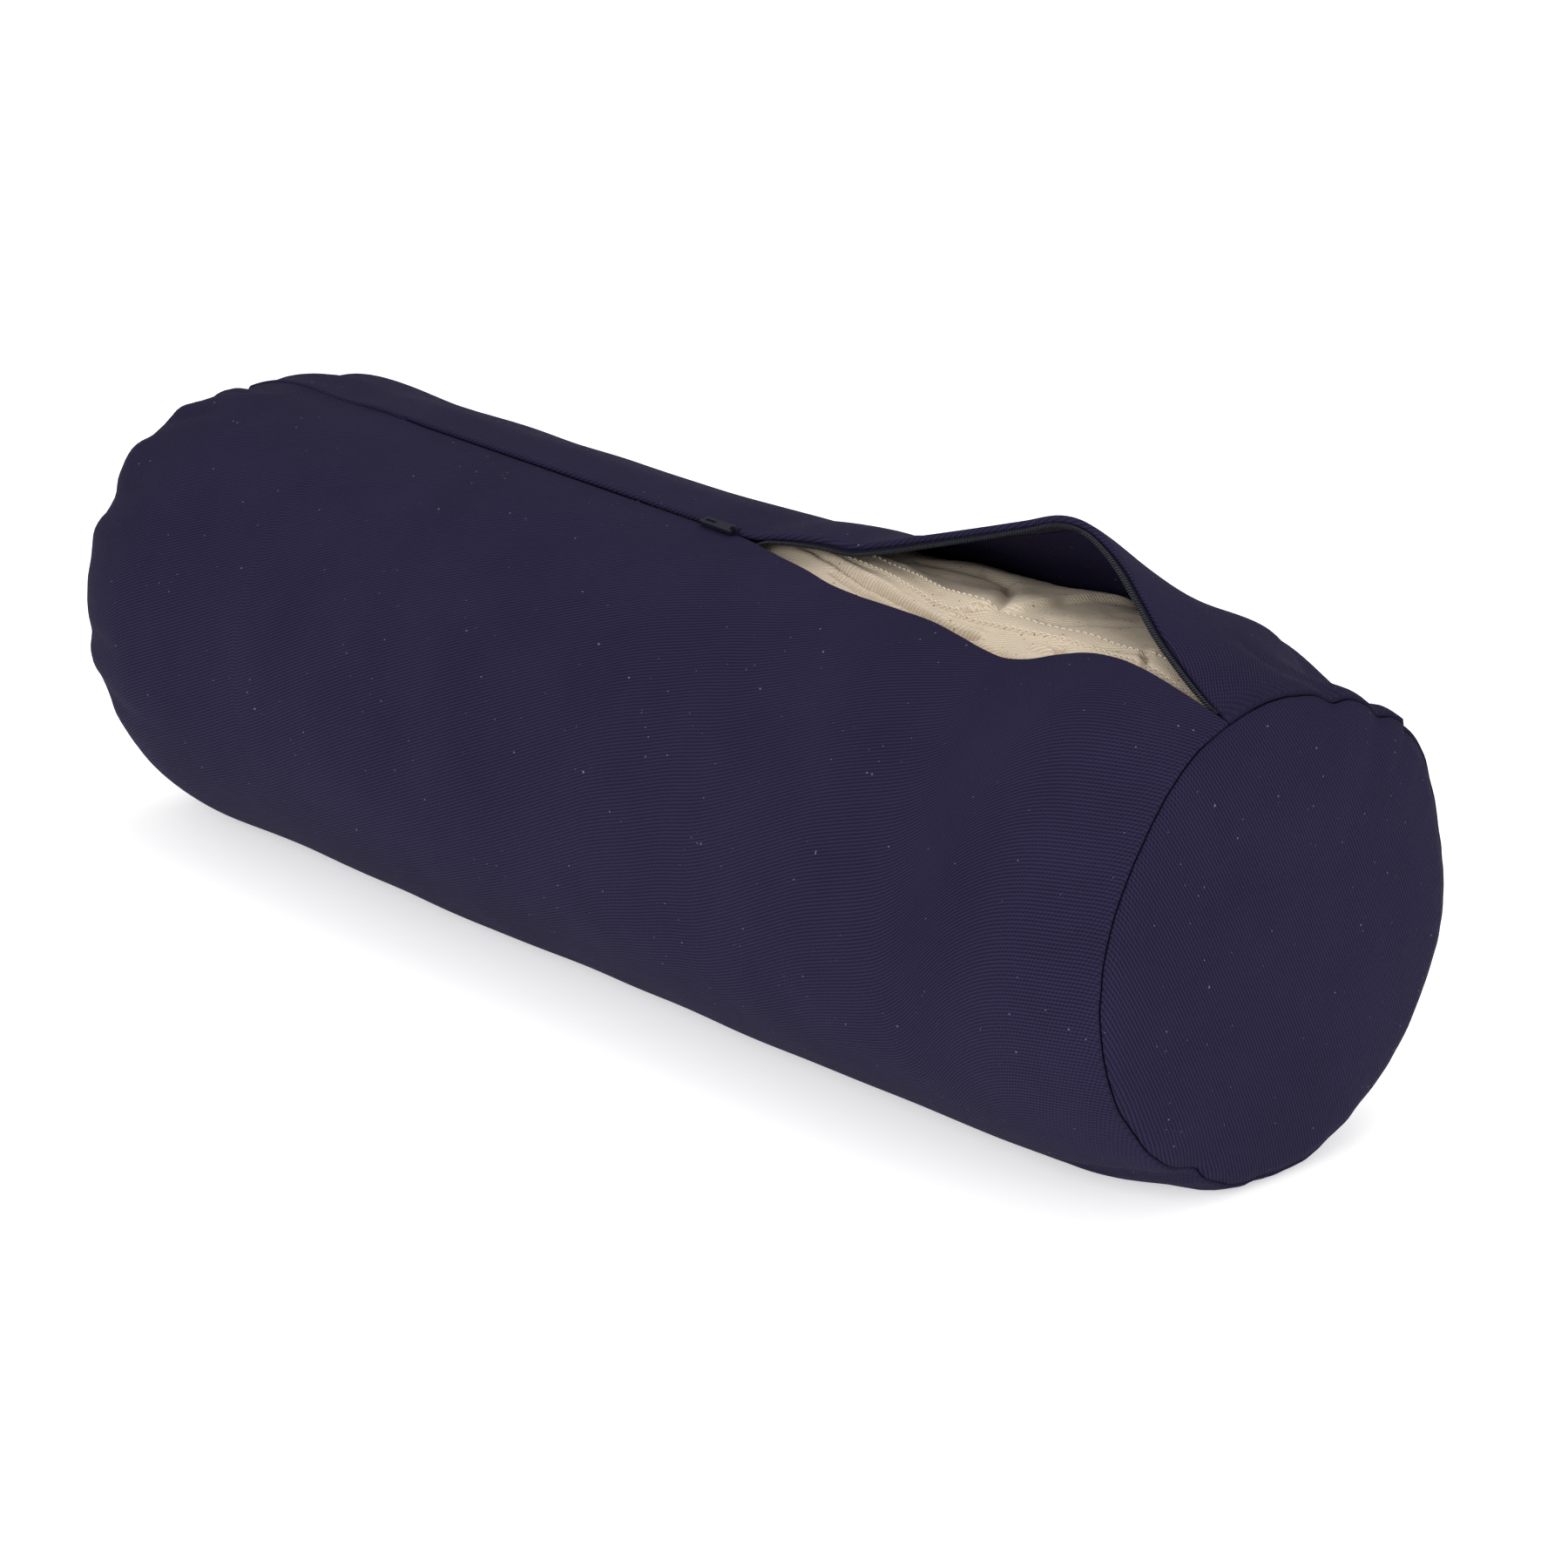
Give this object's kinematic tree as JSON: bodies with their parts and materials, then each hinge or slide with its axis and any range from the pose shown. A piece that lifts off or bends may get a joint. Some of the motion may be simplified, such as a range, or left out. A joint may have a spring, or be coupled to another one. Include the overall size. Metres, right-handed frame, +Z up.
{
  "type": "bolster pillow",
  "caption": "Round bolster pillow: a navy twill cover with a partly open coil zip over a stuffed natural cotton inner bag.",
  "frame": {"origin": "on the surface that the bolster lies on, under the middle of its length", "axes": "+X along the bolster towards the end where the zip is open, -Y the front, +Z up"},
  "size_m": [0.684, 0.216, 0.236],
  "materials": {
    "cover_twill": "matte",
    "cover_thread": "matte",
    "zip_tape": "matte",
    "zip_coil": "satin",
    "zip_metal": "satin",
    "bag_twill": "matte",
    "bag_thread": "matte",
    "filling": "matte"
  },
  "bodies": {
    "cover": {"cover_body": "cover_twill", "cover_end_near": "cover_twill", "cover_end_far": "cover_twill", "end_seam_thread_near": "cover_thread", "end_seam_thread_far": "cover_thread", "zip_tape_near": "zip_tape", "zip_tape_far": "zip_tape", "zip_coil_near": "zip_coil", "zip_coil_far": "zip_coil", "zip_bottom_stop": "zip_metal", "zip_top_stop_near": "zip_metal", "zip_top_stop_far": "zip_metal", "inner_bag_body": "bag_twill", "inner_bag_end_near": "bag_twill", "inner_bag_end_far": "bag_twill", "inner_bag_seam": "bag_twill", "inner_bag_thread": "bag_thread", "inner_fill": "filling"},
    "slider": {"zip_slider": "zip_metal"},
    "pull": {"zip_pull": "zip_metal"},
    "far_lip": {"cover_lip_far": "cover_twill"}
  },
  "joints": [
    {"name": "slider_slide", "type": "slide", "parent": "cover", "child": "slider", "axis": [0.9988, -0.0469, -0.0132], "range_m": [-0.223, 0.249], "deforming": ["zip_tape_near", "zip_tape_far", "zip_coil_near", "zip_coil_far"]},
    {"name": "pull_hinge", "type": "hinge", "parent": "slider", "child": "pull", "pos_m": [0.04504, -0.02118, 0.20563], "axis": [0.0484, 0.9879, 0.1476], "range_deg": [0, 165]},
    {"name": "far_lip_close", "type": "slide", "parent": "cover", "child": "far_lip", "axis": [0, -0.6703, -0.7421], "range_m": [-0.037, 0.042], "deforming": ["cover_lip_far"]}
  ],
  "couplings": [
    {"joint": "far_lip_close", "follows": "slider_slide", "ratio": 0.165}
  ]
}
